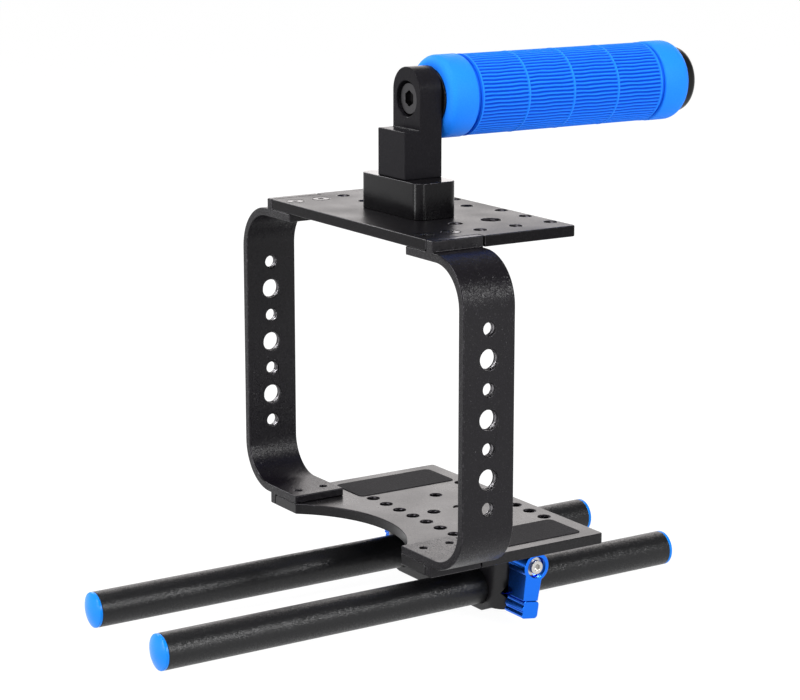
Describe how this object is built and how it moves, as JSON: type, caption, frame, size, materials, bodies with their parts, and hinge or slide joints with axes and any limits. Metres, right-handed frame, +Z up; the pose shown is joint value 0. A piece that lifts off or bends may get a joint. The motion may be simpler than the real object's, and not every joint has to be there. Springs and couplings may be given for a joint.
{
  "type": "camera cage",
  "caption": "Open camera cage: base and top plates joined by two bent side brackets, with a ribbed top handle and a lever clamp for a pair of accessory rods.",
  "frame": {"origin": "mouth of the middle hole of the base plate's front row, on the plate's upper face", "axes": "X to the side, across the plates; Y along the rods, from the front of the cage to the back, where the grip points; Z up"},
  "size_m": [0.1732, 0.2809, 0.2337],
  "materials": {
    "black_anodised": "satin black anodised, fine bead-blasted grain",
    "black_rod": "satin black anodised tube",
    "black_machined": "semi-gloss black anodised, machined",
    "pad_rubber": "dark rubber with a fine texture",
    "grip_rubber": "bright blue ribbed rubber, satin",
    "blue_plastic": "bright blue moulded plastic",
    "blue_anodised": "blue anodised, satin",
    "stainless": "bright stainless steel",
    "black_steel": "black oxide",
    "bare_aluminium": "plain turned",
    "black_plastic": "black moulded plastic"
  },
  "bodies": {
    "cage": {"base_plate": "black_anodised", "top_plate": "black_machined", "left_bracket": "black_anodised", "right_bracket": "black_anodised", "top_bracket_screws": "black_steel", "bottom_bracket_screws": "black_steel", "left_pad": "pad_rubber", "right_pad": "pad_rubber", "handle_foot": "black_machined", "handle_foot_screws": "black_steel", "handle_upright": "black_machined", "upright_screws": "black_steel", "handle_bolt": "black_steel", "handle_collar": "black_machined", "handle_core": "bare_aluminium", "handle_grip": "grip_rubber", "handle_end_cap": "black_plastic", "rod_clamp": "black_anodised", "clamp_screw": "black_steel", "clamp_dowels": "stainless"},
    "left_lever": {"left_lever": "blue_anodised", "left_lever_stud": "stainless", "left_lever_washer": "stainless", "left_lever_screw": "stainless"},
    "left_rod": {"left_rod": "black_rod", "left_rod_front_plug": "blue_plastic", "left_rod_rear_plug": "blue_plastic"},
    "right_lever": {"right_lever": "blue_anodised", "right_lever_stud": "stainless", "right_lever_washer": "stainless", "right_lever_screw": "stainless"},
    "right_rod": {"right_rod": "black_rod", "right_rod_front_plug": "blue_plastic", "right_rod_rear_plug": "blue_plastic"}
  },
  "joints": [
    {"name": "left_lever_turn", "type": "hinge", "parent": "cage", "child": "left_lever", "pos_m": [-0.054, 0.0224, -0.011], "axis": [1, 0, 0], "range_deg": [-110, 68]},
    {"name": "right_lever_turn", "type": "hinge", "parent": "cage", "child": "right_lever", "pos_m": [0.054, 0.0224, -0.011], "axis": [1, 0, 0], "range_deg": [-80, 100]},
    {"name": "left_rod_slide", "type": "slide", "parent": "cage", "child": "left_rod", "axis": [0, 1, 0], "range_m": [-0.075, 0.148]},
    {"name": "right_rod_slide", "type": "slide", "parent": "cage", "child": "right_rod", "axis": [0, 1, 0], "range_m": [-0.075, 0.148]}
  ]
}
